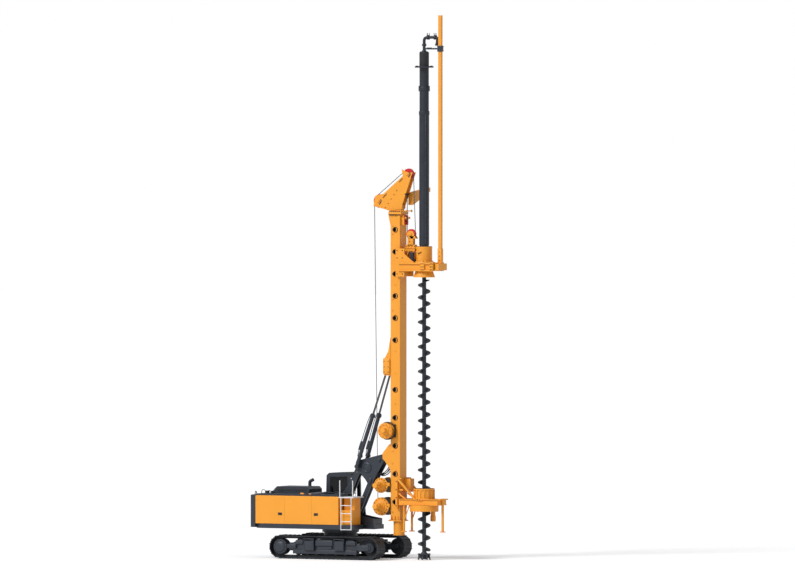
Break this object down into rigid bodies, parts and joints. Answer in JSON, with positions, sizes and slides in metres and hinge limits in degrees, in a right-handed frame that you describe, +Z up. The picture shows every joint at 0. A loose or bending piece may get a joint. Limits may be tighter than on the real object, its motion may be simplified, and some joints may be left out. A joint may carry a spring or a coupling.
{
  "type": "rotary piling rig",
  "caption": "Crawler-mounted rotary piling rig: slewing upper with cab, parallelogram boom, tall box mast, rotary head, long flight auger, rope winches and auger cleaner.",
  "frame": {"origin": "the point of the ground under the slewing axis", "axes": "+X forward to the mast, +Y to the left, on the cab's side, +Z up"},
  "size_m": [7.838, 2.91, 20.1],
  "materials": {
    "yellow_paint": "satin",
    "dark_paint": "satin",
    "black_paint": "matte",
    "light_paint": "satin",
    "red_paint": "satin",
    "track_steel": "matte",
    "auger_steel": "satin",
    "rod_chrome": "polished",
    "cab_glass": "polished",
    "seat_fabric": "matte",
    "engine_iron": "matte"
  },
  "bodies": {
    "undercarriage": {"centre_frame": "dark_paint", "slew_bearing": "dark_paint"},
    "right_track": {"track_frame_right": "dark_paint", "track_wheels_right": "track_steel", "track_right": "track_steel"},
    "left_track": {"track_frame_left": "dark_paint", "track_wheels_left": "track_steel", "track_left": "track_steel"},
    "upper_structure": {"revolving_frame": "dark_paint", "boom_foot": "dark_paint", "counterweight": "dark_paint", "engine_house": "yellow_paint", "side_panels": "yellow_paint", "deck": "dark_paint", "engine": "engine_iron", "exhaust": "dark_paint", "cab": "dark_paint", "cab_glass": "cab_glass", "seat": "seat_fabric", "steps": "light_paint", "landing": "light_paint", "side_box": "yellow_paint"},
    "right_rear_door": {"door_right_rear": "yellow_paint"},
    "right_front_door": {"door_right_front": "yellow_paint"},
    "left_rear_door": {"door_left_rear": "yellow_paint"},
    "engine_hood": {"hood": "dark_paint"},
    "cab_side_door": {"cab_door": "dark_paint"},
    "upper_boom_link": {"upper_link": "dark_paint"},
    "lower_boom_link": {"lower_link": "dark_paint"},
    "boom_head_frame": {"link_frame": "dark_paint"},
    "lift_cylinder_barrel": {"lift_barrel": "dark_paint"},
    "lift_cylinder_rod": {"lift_rod": "rod_chrome"},
    "luffing_barrel_right": {"luffing_right_barrel": "dark_paint"},
    "luffing_rod_right": {"luffing_right_rod": "rod_chrome"},
    "luffing_barrel_left": {"luffing_left_barrel": "dark_paint"},
    "luffing_rod_left": {"luffing_left_rod": "rod_chrome"},
    "mast_assembly": {"mast": "yellow_paint", "mast_brackets": "yellow_paint", "mast_foot": "yellow_paint", "cathead": "yellow_paint", "side_jib": "yellow_paint", "winch_mounts": "black_paint", "winch_motors": "yellow_paint", "cleaner_stand": "yellow_paint", "cleaner_housing": "yellow_paint"},
    "rear_sheave": {"cathead_rear_sheave": "red_paint"},
    "top_sheave": {"cathead_top_sheave": "red_paint"},
    "main_drum": {"main_winch_drum": "auger_steel"},
    "second_drum": {"second_winch_drum": "auger_steel"},
    "side_drum": {"side_winch_drum": "yellow_paint"},
    "head_carriage": {"carriage": "yellow_paint", "head_gearbox": "yellow_paint", "guide_tube": "yellow_paint", "swivel": "black_paint", "hoist_block": "yellow_paint"},
    "block_sheave": {"hoist_sheave": "red_paint"},
    "drill_string": {"drill_tube": "auger_steel", "auger": "auger_steel"},
    "rough_ring": {"cleaner_ring": "yellow_paint"}
  },
  "joints": [
    {"name": "right_track_extension", "type": "slide", "parent": "undercarriage", "child": "right_track", "axis": [0, -1, 0], "range_m": [0, 0.25]},
    {"name": "left_track_extension", "type": "slide", "parent": "undercarriage", "child": "left_track", "axis": [0, 1, 0], "range_m": [0, 0.25]},
    {"name": "slewing", "type": "hinge", "parent": "undercarriage", "child": "upper_structure", "pos_m": [0, 0, 1], "axis": [0, 0, 1], "continuous": true},
    {"name": "right_rear_door_hinge", "type": "hinge", "parent": "upper_structure", "child": "right_rear_door", "pos_m": [-2.917, -1.25, 1.8], "axis": [0, 0, -1], "range_deg": [0, 105]},
    {"name": "right_front_door_hinge", "type": "hinge", "parent": "upper_structure", "child": "right_front_door", "pos_m": [0.567, -1.25, 1.8], "axis": [0, 0, 1], "range_deg": [0, 105]},
    {"name": "left_rear_door_hinge", "type": "hinge", "parent": "upper_structure", "child": "left_rear_door", "pos_m": [-2.917, 1.25, 1.8], "axis": [0, 0, 1], "range_deg": [0, 105]},
    {"name": "engine_hood_hinge", "type": "hinge", "parent": "upper_structure", "child": "engine_hood", "pos_m": [-2.54, 0, 2.392], "axis": [0, -1, 0], "range_deg": [0, 55]},
    {"name": "cab_door_hinge", "type": "hinge", "parent": "upper_structure", "child": "cab_side_door", "pos_m": [-0.784, 1.3, 2], "axis": [0, 0, 1], "range_deg": [0, 140]},
    {"name": "boom_lift", "type": "hinge", "parent": "upper_structure", "child": "upper_boom_link", "pos_m": [0.2, 0, 2.01], "axis": [0, 1, 0], "range_deg": [0, 15]},
    {"name": "lower_link_swing", "type": "hinge", "parent": "upper_structure", "child": "lower_boom_link", "pos_m": [0.67, 0, 1.45], "axis": [0, 1, 0], "range_deg": [-0.5, 15.5]},
    {"name": "boom_head_level", "type": "hinge", "parent": "upper_boom_link", "child": "boom_head_frame", "pos_m": [0.85, 0, 3.42], "axis": [0, 1, 0], "range_deg": [-15.5, 0.5]},
    {"name": "lift_cylinder_swing", "type": "hinge", "parent": "upper_structure", "child": "lift_cylinder_barrel", "pos_m": [-0.35, 0, 1.7], "axis": [0, 1, 0], "range_deg": [-0.5, 11]},
    {"name": "lift_cylinder_stroke", "type": "slide", "parent": "lift_cylinder_barrel", "child": "lift_cylinder_rod", "axis": [0.5901, 0, 0.8074], "range_m": [-0.005, 0.07]},
    {"name": "mast_tilt", "type": "hinge", "parent": "boom_head_frame", "child": "mast_assembly", "pos_m": [2, 0, 3.81], "axis": [0, 1, 0], "range_deg": [-15, 5]},
    {"name": "luffing_right_swing", "type": "hinge", "parent": "boom_head_frame", "child": "luffing_barrel_right", "pos_m": [0.85, -0.33, 3.42], "axis": [0, 1, 0], "range_deg": [-12.6, 4.4]},
    {"name": "luffing_right_stroke", "type": "slide", "parent": "luffing_barrel_right", "child": "luffing_rod_right", "axis": [0.3143, 0.0441, 0.9483], "range_m": [-0.28, 0.1]},
    {"name": "luffing_left_swing", "type": "hinge", "parent": "boom_head_frame", "child": "luffing_barrel_left", "pos_m": [0.85, 0.33, 3.42], "axis": [0, 1, 0], "range_deg": [-12.6, 4.4]},
    {"name": "luffing_left_stroke", "type": "slide", "parent": "luffing_barrel_left", "child": "luffing_rod_left", "axis": [0.3143, -0.0441, 0.9483], "range_m": [-0.28, 0.1]},
    {"name": "rear_sheave_spin", "type": "hinge", "parent": "mast_assembly", "child": "rear_sheave", "pos_m": [1.65, 0, 13.24], "axis": [0, 1, 0], "continuous": true},
    {"name": "top_sheave_spin", "type": "hinge", "parent": "mast_assembly", "child": "top_sheave", "pos_m": [2.865, 0, 14.25], "axis": [0, 1, 0], "continuous": true},
    {"name": "main_winch_spin", "type": "hinge", "parent": "mast_assembly", "child": "main_drum", "pos_m": [1.85, 0, 1.96], "axis": [0, 1, 0], "continuous": true},
    {"name": "second_winch_spin", "type": "hinge", "parent": "mast_assembly", "child": "second_drum", "pos_m": [1.85, 0, 2.74], "axis": [0, 1, 0], "continuous": true},
    {"name": "side_winch_spin", "type": "hinge", "parent": "mast_assembly", "child": "side_drum", "pos_m": [2.14, -0.41, 4.76], "axis": [0, 1, 0], "continuous": true},
    {"name": "head_slide", "type": "slide", "parent": "mast_assembly", "child": "head_carriage", "axis": [0, 0, 1], "range_m": [-7.2, 0.6]},
    {"name": "block_sheave_spin", "type": "hinge", "parent": "head_carriage", "child": "block_sheave", "pos_m": [2.965, 0, 12.03], "axis": [0, 1, 0], "continuous": true},
    {"name": "auger_spin", "type": "hinge", "parent": "head_carriage", "child": "drill_string", "pos_m": [3.498, 0, 11], "axis": [0, 0, 1], "continuous": true},
    {"name": "cleaner_spin", "type": "hinge", "parent": "mast_assembly", "child": "rough_ring", "pos_m": [3.498, 0, 1.9], "axis": [0, 0, 1], "continuous": true}
  ],
  "couplings": [
    {"joint": "lower_link_swing", "follows": "boom_lift", "ratio": 1},
    {"joint": "boom_head_level", "follows": "boom_lift", "ratio": -1},
    {"joint": "lift_cylinder_swing", "follows": "boom_lift", "ratio": 0.6877},
    {"joint": "lift_cylinder_stroke", "follows": "boom_lift", "m_per_rad": 0.2171},
    {"joint": "luffing_right_swing", "follows": "mast_tilt", "ratio": 0.8177},
    {"joint": "luffing_right_stroke", "follows": "mast_tilt", "m_per_rad": 1.0208},
    {"joint": "luffing_left_swing", "follows": "mast_tilt", "ratio": 0.8177},
    {"joint": "luffing_left_stroke", "follows": "mast_tilt", "m_per_rad": 1.0208}
  ]
}
